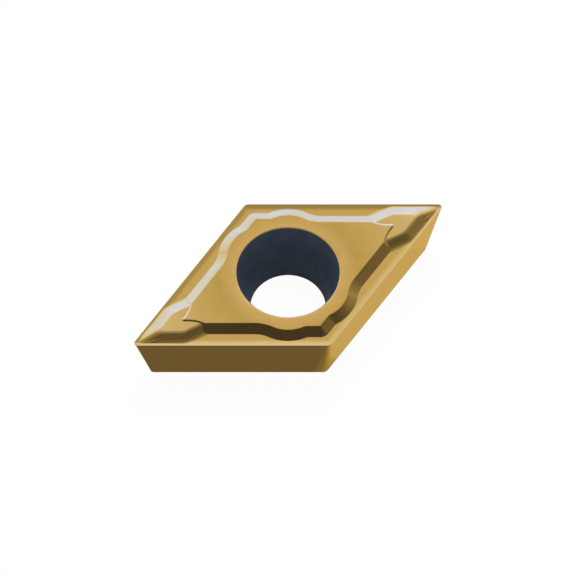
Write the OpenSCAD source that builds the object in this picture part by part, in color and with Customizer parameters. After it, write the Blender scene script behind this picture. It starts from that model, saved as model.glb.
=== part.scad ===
// Indexable turning insert: a 55 degree rhombus with positive flanks, a moulded
// chip breaker on its top face and one countersunk screw hole.
// Frame: the origin is on the seat face, on the axis of the hole. +X runs along
// the long diagonal to one nose, +Z runs up through the hole. Millimetres.

/* [Blank] */
// Diameter of the circle that touches the four cutting edges
inscribed_d = 9.525; // [8.7:0.025:12.7]
// Height of the cutting edges above the seat face
edge_height = 3.97; // [3.2:0.01:6]
// Angle between the two cutting edges of a nose
nose_angle = 55; // [48:1:66]
// Angle by which the flanks lean in below the cutting edges
clearance_angle = 7; // [3:0.5:9]
// Radius of the two noses
nose_r = 0.2; // [0.1:0.02:0.6]
// Radius of the two blunt corners
blunt_r = 0.4; // [0.2:0.05:1.2]

/* [Screw hole] */
// Diameter of the plain bore
bore_d = 4.4; // [3.4:0.05:5.3]
// How far the countersink opens beyond the bore, on each side
flare = 0.815; // [0.5:0.005:1]
// Length of the bore that stays plain, between the seat chamfer and the countersink
bore_straight = 0.45; // [0.2:0.05:2.5]
// Chamfer at the seat face
seat_chamfer = 0.12; // [0.05:0.01:0.3]

/* [Rake strip and floor] */
// Width of the strip that slopes down behind the cutting edges
strip_w = 0.3; // [0.2:0.01:0.36]
// Slope of that strip
strip_angle = 7; // [3:0.5:14]
// Distance from the strip's inner edge, to either side, in which it eases into the floor
strip_ease = 0.06; // [0.02:0.01:0.08]
// Width of the floor between the strip and the long straight walls
floor_w = 0.485; // [0.4:0.005:0.6]
// Width of the floor between the strip and the walls by the blunt corners
blunt_floor_w = 0.28; // [0.15:0.005:0.38]
// Width of the floor where the walls swell out beside the hole
hub_floor_w = 0.023; // [0.01:0.001:0.1]

/* [Plateau] */
// Height of the plateau above the cutting edges
plateau_rise = 0.28; // [0.2:0.01:0.4]
// Width of its sloping wall, seen from above
wall_run = 0.573; // [0.4:0.001:0.69]
// Radius of the brow where the walls swell out beside the hole
hub_r = 2; // [1.4:0.05:3]
// Radius of the foot where the swell runs into the long straight wall
long_foot_r = 1.83; // [1:0.01:3]
// Radius of the foot where the swell runs into the wall by the blunt corner
blunt_foot_r = 0.05; // [0.04:0.01:0.4]
// Radius of the corners in the brow
brow_corner_r = 0.03; // [0.01:0.01:0.1]
// Distance along the edge from the sharp nose corner to the end of the long wall
wall_end = 4.29; // [3.6:0.01:5.1]
// Distance from the sharp nose corner to the point of the plateau
point_back = 3.49; // [2.9:0.01:4.2]
// Radius of the hollow curves that lead to that point
point_r = 2.24; // [1.9:0.01:4]

/* [Nose breaker] */
// Step from the plateau down to the top of the nose breaker
nose_step = 0.05; // [0.02:0.005:0.1]
// Half the width of its top, where its sides are parallel
nose_half_w = 0.62; // [0.5:0.01:0.8]
// Width of its parallel sides, seen from above
nose_run = 0.73; // [0.5:0.01:0.9]
// Width of its sides along the cutting edges, seen from above
nose_edge_run = 0.78; // [0.6:0.01:0.95]
// Distance from the cutting edge to the foot of those sides
nose_gap = 0.1; // [0.08:0.01:0.2]
// Radius of the ridge where they meet
ridge_r = 0.12; // [0.05:0.01:0.2]
// Share of a side's width in which it rounds over from the top
side_round = 0.28; // [0.1:0.02:0.4]
// Share of the width at which the side starts to ease out to its foot
side_ease = 0.62; // [0.5:0.02:0.9]
// Slope left at the foot, as a share of the steepest slope
side_foot = 0.6; // [0:0.05:1]

/* [Ledge under the tip] */
// Distance from the sharp nose corner to the place where the ledge comes out
ledge_back = 1.75; // [1.5:0.01:2.1]
// Half the width of the ledge there
ledge_back_w = 0.44; // [0.36:0.005:0.5]
// Distance from the corner to the widest place of the ledge
ledge_mid = 1.3; // [1.1:0.01:1.45]
// Half the width of the ledge there
ledge_mid_w = 0.38; // [0.31:0.005:0.43]
// Distance from the corner to the front end of the ledge
ledge_front = 0.85; // [0.7:0.01:1.05]
// Half the width of the ledge there
ledge_front_w = 0.22; // [0.15:0.005:0.27]
// Height of the ledge above the cutting edges where it comes out
ledge_rise = 0.08; // [0.06:0.001:0.1]
// Slope of the ledge, down towards the nose
ledge_angle = 7; // [5:0.5:9]
// Slope of the ledge, down towards the cutting edge
ledge_lean = 9; // [5:0.5:12]
// Width of its own small side, seen from above
ledge_run = 0.11; // [0.08:0.01:0.13]
// Slope of that small side
ledge_side_angle = 32; // [24:1:40]

/* [Hidden] */
coat_colour = [0.76, 0.62, 0.32];

// Largest turn from one point to the next on a curved outline
turn = 6;
// Steps across the rounded sides of the nose breaker
side_steps = 10;
// Largest turn from one point to the next round the nose breaker's ridge
ridge_turn = 21;
// How far the raised forms reach into the blank, so that they are one with it
root = 0.2;
// How far their sides run on below the floor
skirt = 0.01;
// Distance from the long diagonal at which a ledge's halves end in the nose breaker
ledge_inner = 0.1;
// Length by which a cut runs past the face that it opens
past = 0.5;

half_angle = nose_angle / 2;
edge_line = inscribed_d / 2;
corner_x = edge_line / sin(half_angle);
corner_t = edge_line / tan(half_angle);
lean = edge_height * tan(clearance_angle);
floor_z = edge_height - strip_w * tan(strip_angle);
ease_z = edge_height - (strip_w - strip_ease) * tan(strip_angle);
plateau_z = edge_height + plateau_rise;
nose_z = plateau_z - nose_step;
wall_slope = (plateau_z - floor_z) / wall_run;

// The plateau's outline is worked out for a core that lies inside its brow by the
// radius of the brow's corners. These are distances from the axis of the hole.
brow_line = edge_line - strip_w - wall_run;
long_line = brow_line - floor_w - brow_corner_r;
blunt_line = brow_line - blunt_floor_w - brow_corner_r;
hub_core_r = hub_r - brow_corner_r;
hub_centre = brow_line - hub_floor_w - hub_r;
long_hollow_r = long_foot_r + wall_run + brow_corner_r;
blunt_hollow_r = blunt_foot_r + wall_run + brow_corner_r;
point_hollow_r = point_r + brow_corner_r;

// The countersink is an arc that leaves the wall of the bore without a corner
bore_r = bore_d / 2;
rim_r = bore_r + flare;
flare_z = seat_chamfer + bore_straight;
flare_depth = plateau_z - flare_z;
flare_r = (pow(flare, 2) + pow(flare_depth, 2)) / (2 * flare);
flare_angle = asin(flare_depth / flare_r);

// From the frame of one edge, along it to the nose and out from the axis of the
// hole, to the frame of the insert, in the quarter with +X and +Y
function from_edge(p) =
    [p[0] * cos(half_angle) + p[1] * sin(half_angle),
     p[1] * cos(half_angle) - p[0] * sin(half_angle)];

// Points on an arc, both ends included
function arc(centre, r, from, to, largest = turn) =
    let (steps = max(2, ceil(abs(to - from) / largest)))
    [for (i = [0:steps])
        let (a = from + (to - from) * i / steps)
        centre + r * [cos(a), sin(a)]];

// Closes a quarter outline, which runs from the Y axis to the X axis, into a ring
function ring_of(quarter) =
    let (last = len(quarter) - 1)
    concat(
        quarter,
        [for (i = [last - 1:-1:0]) [quarter[i][0], -quarter[i][1]]],
        [for (i = [1:last]) [-quarter[i][0], -quarter[i][1]]],
        [for (i = [last - 1:-1:1]) [-quarter[i][0], quarter[i][1]]]);

function at_height(ring, z) = [for (p = ring) [p[0], p[1], z]];

// Rhombus whose sides lie inside the cutting edges by inset, with round corners
function rhombus(inset, r_nose, r_blunt) =
    let (line = edge_line - inset,
         blunt = [0, (line - r_blunt) / cos(half_angle)],
         nose = [(line - r_nose) / sin(half_angle), 0])
    ring_of(concat(
        arc(blunt, r_blunt, 90, 90 - half_angle),
        arc(nose, r_nose, 90 - half_angle, 0)));

// Where along the edge the circle lies that blends the swell into a straight wall
function hollow_at(line, r) =
    sqrt(pow(hub_core_r + r, 2) - pow(line + r - hub_centre, 2));

// The plateau's outline, moved outwards from its brow by grow
function plateau_ring(grow) =
    let (g = grow + brow_corner_r,
         swell = [0, hub_centre],
         blunt_hollow = [-hollow_at(blunt_line, blunt_hollow_r), blunt_line + blunt_hollow_r],
         long_hollow = [hollow_at(long_line, long_hollow_r), long_line + long_hollow_r],
         to_blunt = atan2(blunt_hollow[1] - swell[1], blunt_hollow[0]),
         to_long = atan2(long_hollow[1] - swell[1], long_hollow[0]),
         end = from_edge([corner_t - wall_end, long_line]),
         point = [corner_x - point_back, 0],
         chord = point - end,
         outward = [-chord[1], chord[0]] / norm(chord),
         point_hollow = (end + point) / 2
             + outward * sqrt(pow(point_hollow_r, 2) - pow(norm(chord) / 2, 2)),
         at_end = atan2(end[1] - point_hollow[1], end[0] - point_hollow[0]),
         at_point = atan2(point[1] - point_hollow[1], point[0] - point_hollow[0]),
         beside_hole = concat(
             arc(blunt_hollow, blunt_hollow_r - g, -90, to_blunt - 180),
             arc(swell, hub_core_r + g, to_blunt, to_long),
             arc(long_hollow, long_hollow_r - g, to_long - 180, -90)))
    ring_of(concat(
        arc([0, blunt_line / cos(half_angle)], g, 90, 90 - half_angle),
        [for (p = beside_hole) from_edge(p)],
        arc(end, g, 90 - half_angle, at_end + 180),
        arc(point_hollow, point_hollow_r - g, at_end, at_point),
        arc(point, g, at_point + 180, 0)));

// Outline of the nose breaker: its sides are parallel at half_w, then keep the
// distance gap from the cutting edges until they meet in the rounded ridge
function nose_ring(back, half_w, gap) =
    let (kink = corner_x - (half_w + gap / cos(half_angle)) / tan(half_angle),
         ridge = [corner_x - (gap + ridge_r) / sin(half_angle), 0],
         to_ridge = 90 - half_angle)
    concat(
        [[back, half_w], [kink, half_w]],
        arc(ridge, ridge_r, to_ridge, -to_ridge, ridge_turn),
        [[kink, -half_w], [back, -half_w]]);

// How far the nose breaker's side has dropped after the share u of its width, for
// a steepest slope of one: it rounds over, runs straight and eases out
function side_drop(u) =
    u < side_round ? u * u / (2 * side_round)
    : u < side_ease ? u - side_round / 2
    : let (v = u - side_ease)
        u - side_round / 2 - (1 - side_foot) * v * v / (2 * (1 - side_ease));

// Outline of the ledge on one side, moved outwards by grow. Its inner part lies
// inside the nose breaker
function ledge_ring(back, grow) =
    let (out = grow * [sin(half_angle), cos(half_angle)],
         places = [[ledge_back, ledge_back_w], [ledge_mid, ledge_mid_w], [ledge_front, ledge_front_w]],
         line = [for (p = places) [corner_x - p[0], p[1]] + out])
    concat(
        [[back, line[0][1]]],
        line,
        [[line[2][0], ledge_inner], [back, ledge_inner]]);

// Closed body through a stack of rings with equally many points, lowest ring first
module loft(rings) {
    n = len(rings[0]);
    top = len(rings) - 1;
    polyhedron(
        points = [for (ring = rings) each ring],
        faces = concat(
            [[for (i = [n - 1:-1:0]) i]],
            [for (k = [0:top - 1], i = [0:n - 1])
                let (j = (i + 1) % n)
                [k * n + i, k * n + j, (k + 1) * n + j, (k + 1) * n + i]],
            [[for (i = [0:n - 1]) top * n + i]]),
        convexity = 4);
}

// Blank with its clearance flanks, the rake strip and the flat floor
module blank() {
    loft([
        at_height(rhombus(lean, nose_r, blunt_r), 0),
        at_height(rhombus(0, nose_r, blunt_r), edge_height),
        at_height(rhombus(strip_w - strip_ease, nose_r / 6, blunt_r / 2), ease_z),
        at_height(rhombus(strip_w + strip_ease, nose_r / 12, blunt_r / 4), floor_z)]);
}

// Raised middle of the top face, with its sloping wall
module plateau() {
    loft([
        at_height(plateau_ring(0), floor_z - root),
        at_height(plateau_ring(wall_run + skirt / wall_slope), floor_z - skirt),
        at_height(plateau_ring(0), plateau_z)]);
}

// Lower, softly rounded form that runs from the plateau's point out to one nose
module nose_breaker() {
    back = corner_x - wall_end - 1;
    brow_gap = nose_gap + nose_edge_run;
    loft(concat(
        [at_height(nose_ring(back, nose_half_w, brow_gap), floor_z - root)],
        [for (i = [side_steps:-1:0])
            let (u = i / side_steps)
            at_height(
                nose_ring(back, nose_half_w + u * nose_run, brow_gap - u * nose_edge_run),
                nose_z - (nose_z - floor_z + skirt) * side_drop(u) / side_drop(1))]));
}

// Narrow ledge that shows on both sides of the tip, between the nose breaker's
// side and the rake strip
module ledge() {
    function sloped(ring, drop) =
        [for (p = ring)
            [p[0], p[1], edge_height + ledge_rise - drop
                - (p[0] - corner_x + ledge_back) * tan(ledge_angle)
                - (p[1] - ledge_back_w) * tan(ledge_lean)]];
    back = corner_x - 1.4 * ledge_back;
    drop = ledge_run * tan(ledge_side_angle);
    for (side = [0, 1]) mirror([0, side, 0])
        loft([
            sloped(ledge_ring(back, 0), drop + root),
            sloped(ledge_ring(back, ledge_run), drop),
            sloped(ledge_ring(back, 0), 0)]);
}

// Bore, countersink and the chamfer at the seat face, as one turned cutter
module screw_hole() {
    rotate_extrude($fn = 96)
        polygon(concat(
            [[0, -past],
             [bore_r + seat_chamfer + past, -past],
             [bore_r, seat_chamfer]],
            arc([bore_r + flare_r, flare_z], flare_r, 180, 180 - flare_angle),
            [[rim_r + past * tan(flare_angle), plateau_z + past],
             [0, plateau_z + past]]));
}

module insert() color(coat_colour)
    difference() {
        union() {
            blank();
            plateau();
            for (side = [0, 180]) rotate(side) {
                nose_breaker();
                ledge();
            }
        }
        screw_hole();
    }

insert();
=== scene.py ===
import math
import bpy
import numpy as np
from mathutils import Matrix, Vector


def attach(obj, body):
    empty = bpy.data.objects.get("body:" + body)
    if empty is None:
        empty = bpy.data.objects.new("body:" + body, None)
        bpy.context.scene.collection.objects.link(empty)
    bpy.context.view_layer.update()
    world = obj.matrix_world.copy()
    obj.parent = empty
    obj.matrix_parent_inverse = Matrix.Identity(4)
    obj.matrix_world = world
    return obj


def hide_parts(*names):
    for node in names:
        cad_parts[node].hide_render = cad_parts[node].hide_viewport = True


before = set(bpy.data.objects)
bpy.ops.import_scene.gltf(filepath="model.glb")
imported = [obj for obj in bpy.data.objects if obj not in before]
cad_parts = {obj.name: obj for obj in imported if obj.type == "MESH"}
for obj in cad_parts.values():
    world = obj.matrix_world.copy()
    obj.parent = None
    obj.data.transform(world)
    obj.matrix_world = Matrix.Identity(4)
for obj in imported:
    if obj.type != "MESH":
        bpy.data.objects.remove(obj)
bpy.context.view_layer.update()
mm = 0.001


def hexColour(code):
    # sRGB hex to the linear values that Blender's sockets take
    parts = [int(code[i:i + 2], 16) / 255 for i in (1, 3, 5)]
    linear = [p / 12.92 if p <= 0.04045 else ((p + 0.055) / 1.055) ** 2.4 for p in parts]
    return (*linear, 1.0)


def setStops(elements, stops):
    # places, in any unit, and colours; the ramp runs from the first place to the last
    low, high = stops[0][0], stops[-1][0]
    while len(elements) < len(stops):
        elements.new(0.5)
    for element, (place, colour) in zip(elements, stops):
        element.position = (place - low) / (high - low)
        element.color = colour


def addNode(tree, kind, settings=None, links=None):
    # settings: node property, socket or a ramp's "stops" -> value; links: socket -> output that feeds it
    node = tree.nodes.new(kind)
    for key, value in (settings or {}).items():
        if key == "stops":
            setStops(node.color_ramp.elements, value)
        elif isinstance(key, str) and hasattr(node, key):
            setattr(node, key, value)
        else:
            node.inputs[key].default_value = value
    for key, output in (links or {}).items():
        tree.links.new(output, node.inputs[key])
    return node


# Camera: the photo looks down at 60 degrees, with the long diagonal running back to the right
view = {
    "elevation": 60,      # degrees above the floor
    "turn": 27.5,         # degrees between the long diagonal and the picture's left-right line
    "pxPerMm": 17.145,
    "pictureWidth": 576,
    "aboveMiddle": 13.2,  # px by which the insert's middle lies above the picture's middle
    "distance": 0.4,      # m from the camera to the insert
}
turnAngle = math.radians(view["turn"])
tilt = math.radians(view["elevation"])
zenith = Vector((0, 0, 1))
rightward = Vector((math.cos(turnAngle), -math.sin(turnAngle), 0))
backward = Vector((math.sin(turnAngle), math.cos(turnAngle), 0))
towards = -backward * math.cos(tilt) + zenith * math.sin(tilt)
upward = backward * math.sin(tilt) + zenith * math.cos(tilt)


def direction(azimuth, elevation):
    # azimuth 0 is straight behind the insert as the camera sees it, 90 is to its right
    a, e = math.radians(azimuth), math.radians(elevation)
    flat = backward * math.cos(a) + rightward * math.sin(a)
    return flat * math.cos(e) + zenith * math.sin(e)


# The insert, in millimetres and degrees. The sizes are those of the CAD part, but the ledges are a
# little lower and flatter
insert = {
    "inscribed": 9.525, "edgeHeight": 3.97, "noseAngle": 55, "clearance": 7,
    "noseR": 0.2, "bluntR": 0.4,
    "boreD": 4.4, "flare": 0.815, "boreStraight": 0.45, "seatChamfer": 0.12,
    "stripW": 0.3, "stripAngle": 7, "floorW": 0.485, "bluntFloorW": 0.28, "hubFloorW": 0.023,
    "plateauRise": 0.28, "wallRun": 0.573, "hubR": 2, "longFootR": 1.83, "bluntFootR": 0.05,
    "browCornerR": 0.03, "wallEnd": 4.29, "pointBack": 3.49, "pointR": 2.24,
    "noseStep": 0.05, "noseHalfW": 0.62, "noseRun": 0.73, "noseEdgeRun": 0.78, "noseGap": 0.1,
    "sideRound": 0.28, "sideEase": 0.62, "sideFoot": 0.6,    # shares of the side's width or slope
    # ledge: distance from the sharp nose corner and half width, from its back end to its front
    "ledgeLine": [(1.75, 0.44), (1.3, 0.38), (0.85, 0.22), (0.85, 0.0)],
    "ledgeSide": 17, "ledgeRise": 0.075, "ledgeAngle": 7, "ledgeLean": 8,
    # roundings of the pressed and honed edges, which the CAD part leaves sharp or smaller
    "browSoft": 0.012, "footSoft": 0.008, "foldSoft": 0.014,
    "sideFootSoft": 0.02,                     # added at the foot of the nose breaker's parallel sides,
    "parallelFrom": 1.9, "parallelOver": 1.2,    # from so far behind the sharp nose corner, growing over
    "ledgeSoft": 0.006, "ledgeFootSoft": 0.004,
    "cornerSoft": 0.12, "ridgeSoft": 0.5,     # shares of the width of the nose breaker's side
    "hone": 0.012, "rimSoft": 0.045, "seatR": 0.03,
}
half = math.radians(insert["noseAngle"] / 2)
sinHalf, cosHalf = math.sin(half), math.cos(half)
edgeLine = insert["inscribed"] / 2
cornerX = edgeLine / sinHalf
cornerT = edgeLine / math.tan(half)
noseArcX = (edgeLine - insert["noseR"]) / sinHalf
bluntArcY = (edgeLine - insert["bluntR"]) / cosHalf
floorZ = insert["edgeHeight"] - insert["stripW"] * math.tan(math.radians(insert["stripAngle"]))
plateauZ = insert["edgeHeight"] + insert["plateauRise"]
noseZ = plateauZ - insert["noseStep"]
wallSlope = (plateauZ - floorZ) / insert["wallRun"]
boreR = insert["boreD"] / 2
rimR = boreR + insert["flare"]

# Rows and columns of points in the insert's skin
skin = {
    # degrees from the long diagonal, and the step between columns up to there
    "columns": [(13, 0.22), (16, 0.5), (86, 0.9), (90, 0.2)],
    "boreRows": 4, "flareRows": 22, "rimRows": 7, "noseRows": 60, "noseCrowd": 1.25, "honeRows": 5,
    "plateauShares": (0.12, 0.3, 0.5, 0.7, 0.85),                    # of the way from rim to brow
    "browOffsets": (-0.06, -0.04, -0.026, -0.014, -0.004, 0.006, 0.016, 0.028, 0.042),    # mm
    "wallShares": (0.3, 0.5, 0.7, 0.82, 0.9, 0.95, 0.98),            # of the way down the wall
    "stripGaps": (0.296, 0.288, 0.276, 0.26, 0.24, 0.22, 0.2, 0.18, 0.16, 0.14, 0.12, 0.1, 0.075, 0.05),
    "seatShares": (0.03, 0.4, 0.8, 0.97, 1.0),                       # of the way in to the bore
}


def arcPoints(centre, r, start, end, step=1.0):
    count = max(2, math.ceil(abs(end - start) / step))
    angles = np.radians(np.linspace(start, end, count + 1))
    return np.column_stack([centre[0] + r * np.cos(angles), centre[1] + r * np.sin(angles)])


def fromEdge(points):
    # from along and out of one cutting edge to the insert's own X and Y
    points = np.atleast_2d(points)
    return np.column_stack([points[:, 0] * cosHalf + points[:, 1] * sinHalf,
                            points[:, 1] * cosHalf - points[:, 0] * sinHalf])


def browOutline():
    # the plateau's brow in the quarter with +X and +Y, from the Y axis to the X axis
    cornerR = insert["browCornerR"]
    browLine = edgeLine - insert["stripW"] - insert["wallRun"]
    longLine = browLine - insert["floorW"] - cornerR
    bluntLine = browLine - insert["bluntFloorW"] - cornerR
    coreR = insert["hubR"] - cornerR
    hubCentre = browLine - insert["hubFloorW"] - insert["hubR"]
    longR = insert["longFootR"] + insert["wallRun"] + cornerR
    bluntR = insert["bluntFootR"] + insert["wallRun"] + cornerR

    def hollowAt(line, r):
        return math.sqrt((coreR + r) ** 2 - (line + r - hubCentre) ** 2)

    bluntHollow = (-hollowAt(bluntLine, bluntR), bluntLine + bluntR)
    longHollow = (hollowAt(longLine, longR), longLine + longR)
    toBlunt = math.degrees(math.atan2(bluntHollow[1] - hubCentre, bluntHollow[0]))
    toLong = math.degrees(math.atan2(longHollow[1] - hubCentre, longHollow[0]))
    end = fromEdge([cornerT - insert["wallEnd"], longLine])[0]
    point = np.array([cornerX - insert["pointBack"], 0.0])
    chord = point - end
    length = np.hypot(*chord)
    outward = np.array([-chord[1], chord[0]]) / length
    pointR = insert["pointR"] + cornerR
    hollow = (end + point) / 2 + outward * math.sqrt(pointR ** 2 - (length / 2) ** 2)
    atEnd = math.degrees(math.atan2(*(end - hollow)[::-1]))
    atPoint = math.degrees(math.atan2(*(point - hollow)[::-1]))
    edgeTurn = 90 - insert["noseAngle"] / 2
    return np.vstack([
        arcPoints((0, bluntLine / cosHalf), cornerR, 90, edgeTurn, 6),
        fromEdge(np.vstack([arcPoints(bluntHollow, bluntR - cornerR, -90, toBlunt - 180),
                            arcPoints((0, hubCentre), coreR + cornerR, toBlunt, toLong),
                            arcPoints(longHollow, longR - cornerR, toLong - 180, -90)])),
        arcPoints(end, cornerR, edgeTurn, atEnd + 180, 6),
        arcPoints(hollow, pointR - cornerR, atEnd, atPoint, 0.5),
        arcPoints(point, cornerR, atPoint + 180, 0, 6)])


brow = browOutline()
# the quarter outline and a little of its mirror images are enough for a point in this quarter
browPast = np.vstack([(brow * [-1, 1])[:12][::-1], brow, (brow * [1, -1])[::-1][:12]])
browAngles = np.arctan2(brow[:, 1], brow[:, 0])[::-1]
browRadii = np.hypot(brow[:, 0], brow[:, 1])[::-1]


def browRadius(angle):
    # exact crossing of a ray from the axis with the outline's straight pieces
    i = np.clip(np.searchsorted(browAngles, angle, side="right") - 1, 0, len(browAngles) - 2)
    startX, startY = browRadii[i] * np.cos(browAngles[i]), browRadii[i] * np.sin(browAngles[i])
    endX, endY = browRadii[i + 1] * np.cos(browAngles[i + 1]), browRadii[i + 1] * np.sin(browAngles[i + 1])
    dx, dy = endX - startX, endY - startY
    return (startX * dy - startY * dx) / (np.cos(angle) * dy - np.sin(angle) * dx)


def browDistance(x, y):
    # distance from the brow, below zero on the plateau
    points = np.column_stack([np.abs(x).ravel(), np.abs(y).ravel()])
    starts, steps = browPast[:-1], np.diff(browPast, axis=0)
    lengths = (steps ** 2).sum(1)
    best = np.full(len(points), 1e9)
    for start, step, length in zip(starts, steps, lengths):
        if length < 1e-12:
            continue
        away = points - start
        along = np.clip(away @ step / length, 0, 1)
        off = away - along[:, None] * step
        distance = np.hypot(off[:, 0], off[:, 1])
        best = np.where(distance < best - 1e-12, distance, best)
    # a point lies on the plateau if it is nearer the axis than the brow is on its own ray
    inside = np.hypot(points[:, 0], points[:, 1]) < browRadius(np.arctan2(points[:, 1], points[:, 0]))
    return np.where(inside, -best, best).reshape(np.shape(x))


def edgeGap(x, y):
    # distance inwards from the cutting edge, round the corners too
    x, y = np.abs(x), np.abs(y)
    gap = edgeLine - x * sinHalf - y * cosHalf
    fromX, fromY = x - noseArcX, y
    gap = np.where(fromX * cosHalf - fromY * sinHalf > 0, insert["noseR"] - np.hypot(fromX, fromY), gap)
    fromX, fromY = x, y - bluntArcY
    return np.where(fromY * sinHalf - fromX * cosHalf > 0, insert["bluntR"] - np.hypot(fromX, fromY), gap)


def softMin(a, b, width):
    h = np.clip(0.5 + 0.5 * (b - a) / width, 0, 1)
    return b + (a - b) * h - width * h * (1 - h)


def softMax(a, b, width):
    return -softMin(-a, -b, width)


def sideDrop(u):
    # the side of the nose breaker rounds over from its top, runs straight and eases out to its foot
    roundTo, easeFrom, footSlope = insert["sideRound"], insert["sideEase"], insert["sideFoot"]
    v = np.clip(u, easeFrom, 1) - easeFrom
    drop = np.minimum(u, 1) - roundTo / 2 - (1 - footSlope) * v * v / (2 * (1 - easeFrom))
    drop = drop + np.maximum(u - 1, 0) * footSlope
    return np.where(u < roundTo, u * u / (2 * roundTo), drop)


def noseHeight(x, y):
    # share of the width of the nose breaker's side that lies behind a point, for both sides
    shares = []
    for side in (y, -y):
        straight = edgeLine - x * sinHalf - side * cosHalf
        edgeRun = insert["noseEdgeRun"]
        shares.append(softMax((side - insert["noseHalfW"]) / insert["noseRun"],
                              (insert["noseGap"] + edgeRun - straight) / edgeRun, insert["cornerSoft"]))
    u = np.maximum(softMax(shares[0], shares[1], insert["ridgeSoft"]), 0)
    return noseZ - (noseZ - floorZ) * sideDrop(u) / sideDrop(np.array(1.0))


def ledgeHeight(x, y):
    back, backW = insert["ledgeLine"][0]
    fall = math.tan(math.radians(insert["ledgeAngle"]))
    top = insert["edgeHeight"] + insert["ledgeRise"] - (x - cornerX + back) * fall
    top = top - (y - backW) * math.tan(math.radians(insert["ledgeLean"]))
    # distance past the outline, which runs straight back from its first point
    ends = [(99.0, backW)] + insert["ledgeLine"]
    past = np.full_like(x, -9.0)
    for (a, w), (b, v) in zip(ends, ends[1:]):
        length = math.hypot(a - b, w - v)
        past = np.maximum(past, ((x - cornerX + a) * (w - v) + (y - w) * (a - b)) / length)
    side = top - past * math.tan(math.radians(insert["ledgeSide"]))
    ledge = softMin(top, side, insert["ledgeSoft"])
    # the ledge stays buried in the nose breaker behind its back end
    return np.where(x > cornerX - 1.4 * back, ledge, 0)


def outerRelief(x, y):
    # strip and floor, nose breakers and ledges: all that lies round the plateau
    x, y = np.abs(x), np.abs(y)
    strip = insert["edgeHeight"] - edgeGap(x, y) * math.tan(math.radians(insert["stripAngle"]))
    ground = softMax(strip, np.full_like(strip, floorZ), insert["foldSoft"])
    # the foot of the parallel sides runs out softly into the floor, the others meet the strip
    parallel = np.clip((cornerX - x - insert["parallelFrom"]) / insert["parallelOver"], 0, 1)
    ground = softMax(ground, noseHeight(x, y), insert["footSoft"] + insert["sideFootSoft"] * parallel)
    return softMax(ground, ledgeHeight(x, y), insert["ledgeFootSoft"])


def relief(x, y):
    # height of the pressed top face, in millimetres above the seat
    wall = plateauZ - browDistance(x, y) * wallSlope
    plateau = softMin(np.full_like(wall, plateauZ), wall, insert["browSoft"])
    return softMax(plateau, outerRelief(x, y), insert["footSoft"])


def firstRoot(func, low, high, samples=90):
    # first place between low and high where func falls below zero, for every column at once
    found = high.copy()
    searching = np.ones(len(low), bool)
    before = low.copy()
    for k in range(1, samples + 1):
        r = low + (high - low) * k / samples
        hit = searching & (func(r) < 0)
        if hit.any():
            a, b = before.copy(), r.copy()
            for _ in range(24):
                middle = (a + b) / 2
                below = func(middle) < 0
                b, a = np.where(below, middle, b), np.where(below, a, middle)
            found = np.where(hit, b, found)
            searching &= ~hit
        before = r
    return found


def columnAngles():
    # close together towards the noses and the blunt corners
    angles = [0.0]
    while angles[-1] < 90 - 1e-6:
        step = next(step for limit, step in skin["columns"] if angles[-1] < limit)
        angles.append(min(90.0, angles[-1] + step))
    quarter = np.radians(angles)
    return np.concatenate([quarter, math.pi - quarter[::-1][1:], math.pi + quarter[1:],
                           2 * math.pi - quarter[::-1][1:-1]])


def outlineNormal(x, y):
    # outward direction of the outline at the cutting edge
    absX, absY = np.abs(x), np.abs(y)
    normalX, normalY = np.full_like(absX, sinHalf), np.full_like(absY, cosHalf)
    fromX, fromY = absX - noseArcX, absY
    inNose = fromX * cosHalf - fromY * sinHalf > 0
    away = np.hypot(fromX, fromY)
    normalX, normalY = np.where(inNose, fromX / away, normalX), np.where(inNose, fromY / away, normalY)
    fromX, fromY = absX, absY - bluntArcY
    inBlunt = fromY * sinHalf - fromX * cosHalf > 0
    away = np.hypot(fromX, fromY)
    return np.where(inBlunt, fromX / away, normalX), np.where(inBlunt, fromY / away, normalY)


def shrinkOutline(x, y, move):
    # the sides move in and the corner arcs keep their radii, so each arc's centre moves along its axis
    absX, absY = np.abs(x), np.abs(y)
    normalX, normalY = outlineNormal(x, y)
    inNose = normalX > sinHalf + 1e-6
    inBlunt = normalY > cosHalf + 1e-6
    # along a straight side, points keep their share of its length
    noseEnd = np.array([noseArcX + insert["noseR"] * sinHalf, insert["noseR"] * cosHalf])
    bluntEnd = np.array([insert["bluntR"] * sinHalf, bluntArcY + insert["bluntR"] * cosHalf])
    share = (absX - bluntEnd[0]) / (noseEnd[0] - bluntEnd[0])
    newNose = noseEnd - [move / sinHalf, 0]
    newBlunt = bluntEnd - [0, move / cosHalf]
    newX = newBlunt[0] + (newNose[0] - newBlunt[0]) * share
    newY = newBlunt[1] + (newNose[1] - newBlunt[1]) * share
    newX, newY = np.where(inNose, absX - move / sinHalf, newX), np.where(inNose, absY, newY)
    newX, newY = np.where(inBlunt, absX, newX), np.where(inBlunt, absY - move / cosHalf, newY)
    return newX * np.where(x < 0, -1, 1), newY * np.where(y < 0, -1, 1)


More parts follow.
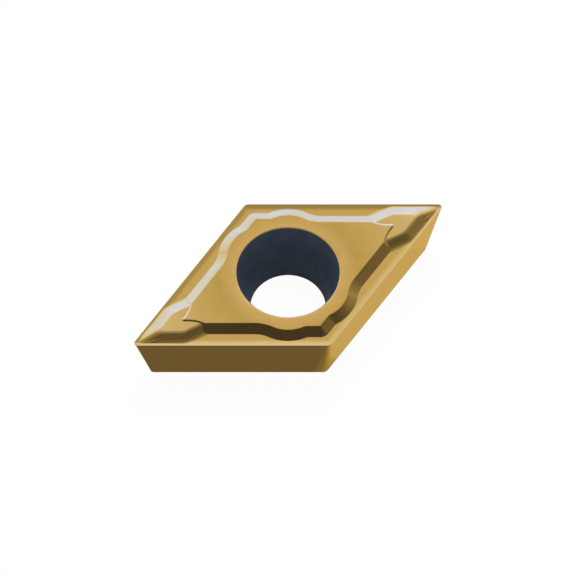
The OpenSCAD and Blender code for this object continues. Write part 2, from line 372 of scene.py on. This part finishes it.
def buildInsert():
    theta = columnAngles()
    cosT, sinT = np.cos(theta), np.sin(theta)
    gold, dark = 0, 1
    rings, coats = [], []

    def addRing(x, y, z, coat=gold):
        rings.append(np.column_stack([x, y, np.broadcast_to(z, theta.shape)]))
        coats.append(coat)

    def addRow(r, z, coat=gold):
        # a ring whose points lie at distance r from the axis
        addRing(r * cosT, r * sinT, z, coat)

    def addTopRow(r):
        addRow(r, relief(r * cosT, r * sinT))

    # where each column crosses the brow, the foot of the wall, the fold and the cutting edge
    browAt = browRadius(np.arctan2(np.abs(sinT), np.abs(cosT)))
    outline = firstRoot(lambda r: edgeGap(r * cosT, r * sinT), browAt, np.full_like(browAt, cornerX))
    foot = firstRoot(lambda r: plateauZ - browDistance(r * cosT, r * sinT) * wallSlope
                     - outerRelief(r * cosT, r * sinT), browAt + 0.002, outline)
    fold = firstRoot(lambda r: edgeGap(r * cosT, r * sinT) - insert["stripW"] - 0.004, foot, outline, 30)

    # bore and countersink
    seatChamfer, flare = insert["seatChamfer"], insert["flare"]
    flareZ = seatChamfer + insert["boreStraight"]
    depth = plateauZ - flareZ
    flareR = (flare ** 2 + depth ** 2) / (2 * flare)
    steepest = math.asin(depth / flareR)     # how far the countersink leans out at its rim
    addRow(boreR, seatChamfer, dark)
    for z in np.linspace(seatChamfer + 0.03, flareZ - 0.05, skin["boreRows"]):
        addRow(boreR, z, dark)
    for a in np.linspace(math.pi, math.pi - steepest, skin["flareRows"]):
        z = flareZ + flareR * math.sin(a)
        if plateauZ - z > insert["rimSoft"]:
            addRow(boreR + flareR + flareR * math.cos(a), z, dark)

    # the rim is rounded over from the countersink to the plateau, and gold like it
    soft = insert["rimSoft"]
    rimMiddle = rimR + soft * math.tan((math.pi / 2 - steepest) / 2)
    for a in np.linspace(steepest, math.pi / 2, skin["rimRows"]):
        addRow(rimMiddle - soft * math.cos(a), plateauZ - soft + soft * math.sin(a))

    # plateau, brow and wall
    for share in skin["plateauShares"]:
        addTopRow(rimMiddle + (browAt - rimMiddle) * share)
    for offset in skin["browOffsets"]:
        addTopRow(browAt + np.minimum(offset, (foot - browAt) * 0.4))
    wallTop = browAt + np.minimum(skin["browOffsets"][-1], (foot - browAt) * 0.4)
    for share in skin["wallShares"]:
        addTopRow(wallTop + (foot - wallTop) * share)
    # floor, nose breakers and ledges, with rows closer together towards the plateau
    for share in np.linspace(0, 1, skin["noseRows"]) ** skin["noseCrowd"]:
        addTopRow(foot + (fold - foot) * share)
    # rake strip, sampled by its distance from the edge
    for gap in skin["stripGaps"]:
        addTopRow(firstRoot(lambda r: edgeGap(r * cosT, r * sinT) - gap, fold, outline, 12))

    # honed edge: a quarter turn of small radius from the strip to the flank
    hone, edgeZ = insert["hone"], insert["edgeHeight"]
    for a in np.linspace(0, math.pi / 2, skin["honeRows"]):
        inward = hone * (1 - math.sin(a))
        edgeAt = firstRoot(lambda r: edgeGap(r * cosT, r * sinT) - max(inward, 1e-5),
                           fold, outline + 0.02, 12)
        addRow(edgeAt, edgeZ - hone * (1 - math.cos(a)) - inward * 0.12)
    edgeX, edgeY = edgeAt * cosT, edgeAt * sinT

    # flanks: the outline moves inwards by the clearance angle, with its corner radii as they are.
    # The rows lie close together at the edge and at the seat
    slope = math.tan(math.radians(insert["clearance"]))
    seatR = insert["seatR"]
    for z in (edgeZ - hone - 0.04, edgeZ - 0.4, edgeZ * 0.6, edgeZ * 0.25, 0.1, seatR):
        addRing(*shrinkOutline(edgeX, edgeY, (edgeZ - z) * slope), z)
    for degrees in (30, 60, 90):
        a = math.radians(degrees)
        move = (edgeZ - seatR) * slope + seatR * (1 - math.cos(a))
        addRing(*shrinkOutline(edgeX, edgeY, move), seatR * (1 - math.sin(a)))
    # seat face, in to the chamfer of the bore
    seatEdge, chamferR = rings[-1], boreR + seatChamfer
    for share in skin["seatShares"]:
        addRing(seatEdge[:, 0] + (chamferR * cosT - seatEdge[:, 0]) * share,
                seatEdge[:, 1] + (chamferR * sinT - seatEdge[:, 1]) * share, 0)

    faces, index = [], []
    columns = len(theta)
    for k in range(len(rings)):
        nextRing = (k + 1) % len(rings)
        for i in range(columns):
            j = (i + 1) % columns
            faces.append((k * columns + i, nextRing * columns + i,
                          nextRing * columns + j, k * columns + j))
        index += [coats[k]] * columns
    mesh = bpy.data.meshes.new("insertBody")
    mesh.from_pydata((np.vstack(rings) * mm).tolist(), [], faces)
    mesh.validate()
    mesh.polygons.foreach_set("material_index", index)
    mesh.update()
    return mesh


print("building the insert")
mesh = buildInsert()
body = bpy.data.objects.new("insertBody", mesh)
bpy.context.scene.collection.objects.link(body)
mesh.shade_smooth()
weighted = body.modifiers.new("evenShading", "WEIGHTED_NORMAL")
weighted.keep_sharp = True
print("faces", len(mesh.polygons))


# Titanium nitride, vapour-deposited on pressed and sintered carbide: a satin gold metal, with painted shade
# in a ring round the hole, a painted sheen that makes it paler on the noses and at the rim of the hole, and
# a painted highlight on the honed cutting edge
goldLook = {
    "base": "#D0A956", "edge": "#E8D4A0",     # seen straight on, and at grazing angles
    "roughness": 0.2,
    # painted shade and sheen of the top face at so many millimetres from the hole's axis: darker in a ring
    # round the hole, paler at its rim and towards the noses
    "topShadeAndSheen": [(3.0, "#D9B163"), (3.6, "#D0A957"), (4.1, "#C6A14D"), (5.2, "#CFA957"), (6.6, "#D5B163"),
                (8.2, "#DCBB70")],
    "topFrom": (4.15, 4.19),                  # mm above the seat
    # colour of the honed cutting edge: a painted highlight on the rubbed edge
    "honeWearAndHighlight": "#E6CC8C", "honeWidth": 0.06,    # mm from the cutting edge
    "honeSmoother": 0.04,                     # taken off the roughness there
    "cloud": 0.6, "cloudTone": 0.025, "cloudRough": 0.02,    # mm, share of the colour, of the roughness
    "grain": 0.05, "grainTone": 0.02, "grainRough": 0.05,    # real grain is 0.002 mm, drawn coarser
    "grainHeight": 0.00012,                   # mm
}
# Titanium aluminium nitride in the hole, vapour-deposited over the bare carbide: matt and blue-black
boreLook = {
    "base": "#525D67", "deep": "#4A555F", "roughness": 0.5, "specular": 0.14,
    "cloud": 0.9, "cloudSpan": (0.35, 0.65),
    "grain": 0.06, "grainTone": 0.05, "grainRough": 0.08, "grainHeight": 0.0006,    # drawn coarser too
}
noiseLow, noiseHigh = 0.3, 0.7     # nearly all of a noise's values lie between these


def nitrideGold():
    look = goldLook
    material = bpy.data.materials.new("titaniumNitrideCoat")
    material.use_nodes = True
    tree = material.node_tree
    shader = tree.nodes["Principled BSDF"]
    shader.inputs["Metallic"].default_value = 1.0
    shader.inputs["Specular Tint"].default_value = hexColour(look["edge"])
    place = addNode(tree, "ShaderNodeTexCoord").outputs["Object"]
    folded = addNode(tree, "ShaderNodeVectorMath", {"operation": "ABSOLUTE"}, {0: place})
    height = addNode(tree, "ShaderNodeSeparateXYZ", {}, {0: place}).outputs["Z"]

    # painted shade and sheen of the top face, from the hole's axis out
    flat = addNode(tree, "ShaderNodeVectorMath", {"operation": "MULTIPLY", 1: (1, 1, 0)}, {0: place})
    away = addNode(tree, "ShaderNodeVectorMath", {"operation": "LENGTH"}, {0: flat.outputs[0]})
    near, far = look["topShadeAndSheen"][0][0], look["topShadeAndSheen"][-1][0]
    along = addNode(tree, "ShaderNodeMapRange", {1: near * mm, 2: far * mm}, {0: away.outputs["Value"]})
    stops = [(distance, hexColour(code)) for distance, code in look["topShadeAndSheen"]]
    tone = addNode(tree, "ShaderNodeValToRGB", {"stops": stops}, {0: along.outputs[0]})
    low, high = look["topFrom"]
    onTop = addNode(tree, "ShaderNodeMapRange", {1: low * mm, 2: high * mm}, {0: height})
    coat = addNode(tree, "ShaderNodeMix", {"data_type": "RGBA", 6: hexColour(look["base"])},
                   {0: onTop.outputs[0], 7: tone.outputs[0]})

    # honed cutting edge, rubbed smoother, and made paler by a painted highlight
    out = addNode(tree, "ShaderNodeVectorMath", {"operation": "DOT_PRODUCT", 1: (sinHalf, cosHalf, 0)},
                  {0: folded.outputs[0]})
    low, high = edgeLine - look["honeWidth"], edgeLine - 0.01
    edge = addNode(tree, "ShaderNodeMapRange", {1: low * mm, 2: high * mm}, {0: out.outputs["Value"]})
    low, high = insert["edgeHeight"] - look["honeWidth"], insert["edgeHeight"] - 0.02
    upper = addNode(tree, "ShaderNodeMapRange", {1: low * mm, 2: high * mm}, {0: height})
    honeWearAndHighlight = addNode(tree, "ShaderNodeMath", {"operation": "MULTIPLY"},
                    {0: edge.outputs[0], 1: upper.outputs[0]})
    coat = addNode(tree, "ShaderNodeMix", {"data_type": "RGBA", 7: hexColour(look["honeWearAndHighlight"])},
                   {0: honeWearAndHighlight.outputs[0], 6: coat.outputs[2]})

    # clouds of thicker coat, and the grain of the sintered carbide under it
    cloud = addNode(tree, "ShaderNodeTexNoise", {"Scale": 1 / (look["cloud"] * mm), "Detail": 2.0},
                    {0: place})
    grain = addNode(tree, "ShaderNodeTexNoise", {"Scale": 1 / (look["grain"] * mm), "Detail": 2.0},
                    {0: place})
    tones, roughs = [], []
    for noise, toneBy, roughBy in ((cloud, look["cloudTone"], look["cloudRough"]),
                                   (grain, look["grainTone"], look["grainRough"])):
        tones.append(addNode(tree, "ShaderNodeMapRange",
                             {1: noiseLow, 2: noiseHigh, 3: 1 - toneBy, 4: 1 + toneBy},
                             {0: noise.outputs["Fac"]}))
        roughs.append(addNode(tree, "ShaderNodeMapRange",
                              {1: noiseLow, 2: noiseHigh, 3: -roughBy / 2, 4: roughBy / 2},
                              {0: noise.outputs["Fac"]}))
    uneven = addNode(tree, "ShaderNodeMath", {"operation": "MULTIPLY"},
                     {0: tones[0].outputs[0], 1: tones[1].outputs[0]})
    coat = addNode(tree, "ShaderNodeVectorMath", {"operation": "SCALE"},
                   {0: coat.outputs[2], "Scale": uneven.outputs[0]})
    tree.links.new(coat.outputs[0], shader.inputs["Base Color"])
    rough = addNode(tree, "ShaderNodeMath", {"operation": "ADD"},
                    {0: roughs[0].outputs[0], 1: roughs[1].outputs[0]})
    rough = addNode(tree, "ShaderNodeMath", {"operation": "ADD", 1: look["roughness"]},
                    {0: rough.outputs[0]})
    rough = addNode(tree, "ShaderNodeMath", {"operation": "MULTIPLY_ADD", 1: -look["honeSmoother"]},
                    {0: honeWearAndHighlight.outputs[0], 2: rough.outputs[0]})
    tree.links.new(rough.outputs[0], shader.inputs["Roughness"])
    bump = addNode(tree, "ShaderNodeBump", {"Distance": look["grainHeight"] * mm},
                   {"Height": grain.outputs["Fac"]})
    tree.links.new(bump.outputs[0], shader.inputs["Normal"])
    return material


def nitrideDark():
    look = boreLook
    material = bpy.data.materials.new("titaniumAluminiumNitrideCoat")
    material.use_nodes = True
    tree = material.node_tree
    shader = tree.nodes["Principled BSDF"]
    shader.inputs["Specular IOR Level"].default_value = look["specular"]
    place = addNode(tree, "ShaderNodeTexCoord").outputs["Object"]
    cloud = addNode(tree, "ShaderNodeTexNoise", {"Scale": 1 / (look["cloud"] * mm), "Detail": 2.0},
                    {0: place})
    grain = addNode(tree, "ShaderNodeTexNoise", {"Scale": 1 / (look["grain"] * mm), "Detail": 2.0},
                    {0: place})
    low, high = look["cloudSpan"]
    patch = addNode(tree, "ShaderNodeMapRange", {1: low, 2: high}, {0: cloud.outputs["Fac"]})
    coat = addNode(tree, "ShaderNodeMix",
                   {"data_type": "RGBA", 6: hexColour(look["base"]), 7: hexColour(look["deep"])},
                   {0: patch.outputs[0]})
    low, high = 1 - look["grainTone"], 1 + look["grainTone"]
    speck = addNode(tree, "ShaderNodeMapRange", {1: noiseLow, 2: noiseHigh, 3: low, 4: high},
                    {0: grain.outputs["Fac"]})
    coat = addNode(tree, "ShaderNodeVectorMath", {"operation": "SCALE"},
                   {0: coat.outputs[2], "Scale": speck.outputs[0]})
    tree.links.new(coat.outputs[0], shader.inputs["Base Color"])
    low, high = look["roughness"] - look["grainRough"] / 2, look["roughness"] + look["grainRough"] / 2
    rough = addNode(tree, "ShaderNodeMapRange", {1: noiseLow, 2: noiseHigh, 3: low, 4: high},
                    {0: grain.outputs["Fac"]})
    tree.links.new(rough.outputs[0], shader.inputs["Roughness"])
    bump = addNode(tree, "ShaderNodeBump", {"Distance": look["grainHeight"] * mm},
                   {"Height": grain.outputs["Fac"]})
    tree.links.new(bump.outputs[0], shader.inputs["Normal"])
    return material


mesh.materials.append(nitrideGold())
mesh.materials.append(nitrideDark())
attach(body, "root")
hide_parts("insert")
print("coated the insert")


# Studio: a matt white board, wide soft light low behind the insert, and a soft sun for the board
studio = {
    "floorSize": 0.36,         # m across
    "floorSides": 64,
    "floorColour": "#F2F2F0", "floorRoughness": 0.9, "floorSpecular": 0.1,
    "floorLift": 0.97,         # share of plain white that the camera sees in the floor
    "floorGlint": 0.9,         # the same in reflections
    # wide soft light: azimuth and elevation of its middle, and brightness at so many degrees from it
    "softMiddle": (0, 4),
    "softFall": [(0, 1.1), (30, 1.09), (40, 1.09), (50, 1.06), (58, 0.81), (66, 0.46), (74, 0.35),
                 (82, 0.31), (90, 0.16), (98, 0.145), (110, 0.04), (130, 0.03), (180, 0.03)],
    "topFall": [(0, 0.15), (35, 0), (180, 0)],    # a little more from straight above
    # low white band all round, for the side views: brightness at so many degrees above the horizon
    "bandFall": [(0, 0.6), (18, 0.58), (28, 0.4), (36, 0.1), (42, 0), (90, 0)],
    # light low in front of the insert, for the views from behind
    "frontMiddle": (180, 5),
    "frontFall": [(0, 0.78), (26, 0.74), (34, 0.6), (43, 0.22), (49, 0), (180, 0)],
    # bluish sky low behind the insert, seen only in the glint of the coat
    "skyMiddle": (-6, -3),
    "skyFall": [(0, (0, 0.82, 10.0)), (12, (0, 0.7, 7.6)), (24, (0, 0.58, 5.8)), (32, (0, 0.51, 4.3)),
                (40, (0, 0.4, 2.8)), (48, (0, 0.27, 1.65)), (54, (0, 0.09, 0.7)), (60, (0, 0.01, 0.15)),
                (66, (0, 0, 0.04)), (180, (0, 0, 0.04))],
    "dome": "#B2B6C2",         # even light that matt surfaces get from all round
    "keyFrom": (10, 64), "keyStrength": 2.4, "keySize": 20,    # azimuth and elevation; degrees across
    # glowing cards on the board, seen only in the coats: a painted shadow of the insert before the front
    # flank and painted shade under the hole.
    # Corners lie so many millimetres right of the hole's axis and before it
    "frontShadowCard": [(-12, 4.15), (-12, 14), (8.9, 14), (4.1, 4.27), (3.3, 2.73), (2.3, 4.15)],
    # colour of the painted shadow by the distance along a line to the right and half as much back, through
    # the hole's axis
    "frontShadowTones": [(-0.8, "#8686B2"), (-0.45, "#9A99C0"), (-0.1, "#AEADC8"), (0.15, "#C4C3CF"),
                   (0.8, "#CDCDCF"), (1.05, "#DBDAD8"), (1.3, "#F3F3F3")],
    "frontFade": (6.6, 13.5), "leftFade": (9.4, 11.8),    # mm before the axis and left of it
    # painted shade under the hole, a glowing card seen only in reflections
    "holeShadeCard": [(-2.4, -2.4), (-2.4, 2.4), (2.4, 2.4), (2.4, -2.4)],
    "holeShadeTone": "#707A88",
    "cardHeight": 0.01,        # mm above the board
}
reach = studio["floorSize"] / 2
turns = np.linspace(0, 2 * math.pi, studio["floorSides"] + 1)[:-1]
floorMesh = bpy.data.meshes.new("floorBoard")
floorMesh.from_pydata([(reach * math.cos(a), reach * math.sin(a), 0) for a in turns], [],
                      [tuple(range(len(turns)))])
floor = bpy.data.objects.new("floorBoard", floorMesh)
bpy.context.scene.collection.objects.link(floor)
board = bpy.data.materials.new("whiteBoard")
board.use_nodes = True
tree = board.node_tree
shader = tree.nodes["Principled BSDF"]
shader.inputs["Base Color"].default_value = hexColour(studio["floorColour"])
shader.inputs["Roughness"].default_value = studio["floorRoughness"]
shader.inputs["Specular IOR Level"].default_value = studio["floorSpecular"]
rays = addNode(tree, "ShaderNodeLightPath")
seen = addNode(tree, "ShaderNodeMath", {"operation": "MULTIPLY", 1: studio["floorLift"]},
               {0: rays.outputs["Is Camera Ray"]})
mirrored = addNode(tree, "ShaderNodeMath", {"operation": "MULTIPLY", 1: studio["floorGlint"]},
                   {0: rays.outputs["Is Glossy Ray"]})
through = addNode(tree, "ShaderNodeMath", {"operation": "MULTIPLY_ADD", 1: studio["floorLift"]},
                  {0: rays.outputs["Is Transmission Ray"], 2: mirrored.outputs[0]})
share = addNode(tree, "ShaderNodeMath", {"operation": "ADD"}, {0: seen.outputs[0], 1: through.outputs[0]})
glow = addNode(tree, "ShaderNodeEmission", {"Color": (1, 1, 1, 1), "Strength": 1.0})
mix = addNode(tree, "ShaderNodeMixShader", {},
              {0: share.outputs[0], 1: shader.outputs[0], 2: glow.outputs[0]})
tree.links.new(mix.outputs[0], tree.nodes["Material Output"].inputs["Surface"])
floorMesh.materials.append(board)


def tonesAcross(tree, tones, fades):
    # painted shadow colour that changes along one line, and fades to the board's own white along others
    place = addNode(tree, "ShaderNodeNewGeometry").outputs["Position"]
    lean = addNode(tree, "ShaderNodeVectorMath", {"operation": "DOT_PRODUCT", 1: rightward + backward / 2},
                   {0: place})
    low, high = tones[0][0], tones[-1][0]
    along = addNode(tree, "ShaderNodeMapRange", {1: low * mm, 2: high * mm}, {0: lean.outputs["Value"]})
    stops = [(distance, hexColour(code)) for distance, code in tones]
    colour = addNode(tree, "ShaderNodeValToRGB", {"stops": stops}, {0: along.outputs[0]}).outputs[0]
    boardWhite = [studio["floorGlint"]] * 3 + [1]
    for toward, (start, end) in fades:
        beyond = addNode(tree, "ShaderNodeVectorMath", {"operation": "DOT_PRODUCT", 1: toward}, {0: place})
        fade = addNode(tree, "ShaderNodeMapRange", {1: start * mm, 2: end * mm},
                       {0: beyond.outputs["Value"]})
        faded = addNode(tree, "ShaderNodeMix", {"data_type": "RGBA", 7: boardWhite},
                        {0: fade.outputs[0], 6: colour})
        colour = faded.outputs[2]
    return colour


def layCard(name, corners, tones, fades=()):
    # tones: one colour, or colours by distance
    points = [(rightward * x - backward * y + zenith * studio["cardHeight"]) * mm for x, y in corners]
    cardMesh = bpy.data.meshes.new(name)
    cardMesh.from_pydata(points, [], [tuple(range(len(points)))])
    card = bpy.data.objects.new(name, cardMesh)
    bpy.context.scene.collection.objects.link(card)
    paintedShade = bpy.data.materials.new(name + "PaintedShade")
    paintedShade.use_nodes = True
    tree = paintedShade.node_tree
    glow = addNode(tree, "ShaderNodeEmission", {"Strength": 1.0})
    if isinstance(tones, str):
        glow.inputs["Color"].default_value = hexColour(tones)
    else:
        tree.links.new(tonesAcross(tree, tones, fades), glow.inputs["Color"])
    tree.links.new(glow.outputs[0], tree.nodes["Material Output"].inputs["Surface"])
    cardMesh.materials.append(paintedShade)
    card.visible_camera = card.visible_diffuse = card.visible_shadow = False


# painted shadow before the front flank and painted shade under the hole, glowing and seen only in
# reflections
layCard("frontShadowCard", studio["frontShadowCard"], studio["frontShadowTones"],
        [(-backward, studio["frontFade"]), (-rightward, studio["leftFade"])])
layCard("holeShadeCard", studio["holeShadeCard"], studio["holeShadeTone"])

world = bpy.data.worlds.new("softDome")
bpy.context.scene.world = world
world.use_nodes = True
tree = world.node_tree
background = tree.nodes["Background"]
skyPlace = addNode(tree, "ShaderNodeTexCoord").outputs["Generated"]
rays = addNode(tree, "ShaderNodeLightPath")


def falloff(toward, fall):
    # ramp over the angle from one direction, given as pairs of degrees and brightness or colour
    dot = addNode(tree, "ShaderNodeVectorMath", {"operation": "DOT_PRODUCT", 1: toward}, {0: skyPlace})
    angle = addNode(tree, "ShaderNodeMath", {"operation": "ARCCOSINE"}, {0: dot.outputs["Value"]})
    share = addNode(tree, "ShaderNodeMath", {"operation": "DIVIDE", 1: math.radians(fall[-1][0])},
                    {0: angle.outputs[0]})
    stops = [(degrees, (*np.broadcast_to(value, 3), 1)) for degrees, value in fall]
    return addNode(tree, "ShaderNodeValToRGB", {"stops": stops}, {0: share.outputs[0]}).outputs[0]


band = [(90 - degrees, value) for degrees, value in reversed(studio["bandFall"])]
wide = addNode(tree, "ShaderNodeVectorMath", {"operation": "MAXIMUM"},
               {0: falloff(direction(*studio["softMiddle"]), studio["softFall"]), 1: falloff(zenith, band)})
wide = addNode(tree, "ShaderNodeVectorMath", {"operation": "MAXIMUM"},
               {0: wide.outputs[0], 1: falloff(direction(*studio["frontMiddle"]), studio["frontFall"])})
wide = addNode(tree, "ShaderNodeVectorMath", {"operation": "ADD"},
               {0: wide.outputs[0], 1: falloff(zenith, studio["topFall"])})
sky = addNode(tree, "ShaderNodeVectorMath", {"operation": "SCALE"},
              {0: falloff(direction(*studio["skyMiddle"]), studio["skyFall"]),
               "Scale": rays.outputs["Is Glossy Ray"]})
both = addNode(tree, "ShaderNodeVectorMath", {"operation": "ADD"}, {0: wide.outputs[0], 1: sky.outputs[0]})
even = addNode(tree, "ShaderNodeMix", {"data_type": "RGBA", 7: hexColour(studio["dome"])},
               {0: rays.outputs["Is Diffuse Ray"], 6: both.outputs[0]})
white = addNode(tree, "ShaderNodeMix", {"data_type": "RGBA", 7: (1, 1, 1, 1)},
                {0: rays.outputs["Is Camera Ray"], 6: even.outputs[2]})
tree.links.new(white.outputs[2], background.inputs["Color"])
background.inputs["Strength"].default_value = 1.0

# Key: a soft sun from behind, which lights only the board and gives it the insert's faint shadow
key = bpy.data.lights.new("key", "SUN")
key.energy = studio["keyStrength"]
key.angle = math.radians(studio["keySize"])
keyLamp = bpy.data.objects.new("key", key)
keyLamp.rotation_euler = direction(*studio["keyFrom"]).to_track_quat("Z", "Y").to_euler()
keyLamp.visible_glossy = False
boardOnly = bpy.data.collections.new("boardOnly")
boardOnly.objects.link(floor)
keyLamp.light_linking.receiver_collection = boardOnly
bpy.context.scene.collection.objects.link(keyLamp)

camera = bpy.data.cameras.new("camera")
camera.type = "ORTHO"
camera.ortho_scale = view["pictureWidth"] / view["pxPerMm"] * mm
cameraObject = bpy.data.objects.new("camera", camera)
middle = zenith * insert["edgeHeight"] * mm - upward * (view["aboveMiddle"] / view["pxPerMm"] * mm)
cameraObject.location = middle + towards * view["distance"]
cameraObject.rotation_euler = towards.to_track_quat("Z", "Y").to_euler()
bpy.context.scene.collection.objects.link(cameraObject)
bpy.context.scene.camera = cameraObject
bpy.context.scene.view_settings.view_transform = "Standard"
print("lit the stage")
